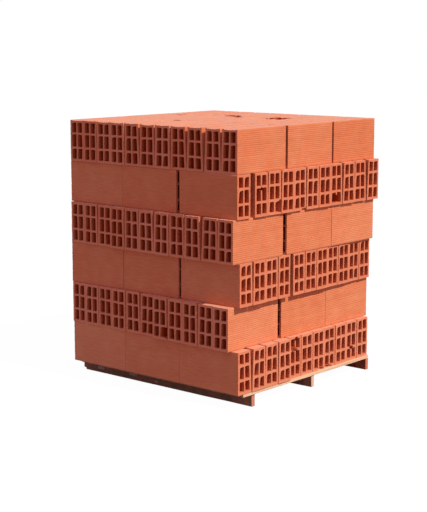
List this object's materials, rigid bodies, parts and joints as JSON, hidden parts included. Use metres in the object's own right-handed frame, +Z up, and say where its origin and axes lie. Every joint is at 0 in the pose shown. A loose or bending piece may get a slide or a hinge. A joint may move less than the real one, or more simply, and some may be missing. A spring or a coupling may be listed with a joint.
{
  "type": "pallet of bricks",
  "caption": "Crossed courses of hollow clay bricks laid on edge, stacked on a low wooden pallet with a boarded deck and three thin runners.",
  "frame": {"origin": "middle of the middle runner's underside, where the pallet meets the ground", "axes": "+Z up; X along the runners; Y along the deck boards, -Y the front, where the top course shows its brick ends"},
  "size_m": [1.067, 1.0626, 1.21],
  "materials": {
    "fired_clay": "extruded and fired red clay, unglazed, matt",
    "pallet_wood": "rough sawn softwood, unfinished"
  },
  "bodies": {
    "root": {"course_1": "fired_clay", "course_2": "fired_clay", "course_3": "fired_clay", "course_4": "fired_clay", "course_5": "fired_clay", "course_6": "fired_clay", "hidden_bricks": "fired_clay", "deck_boards": "pallet_wood", "front_runner": "pallet_wood", "middle_runner": "pallet_wood", "back_runner": "pallet_wood"}
  },
  "joints": []
}
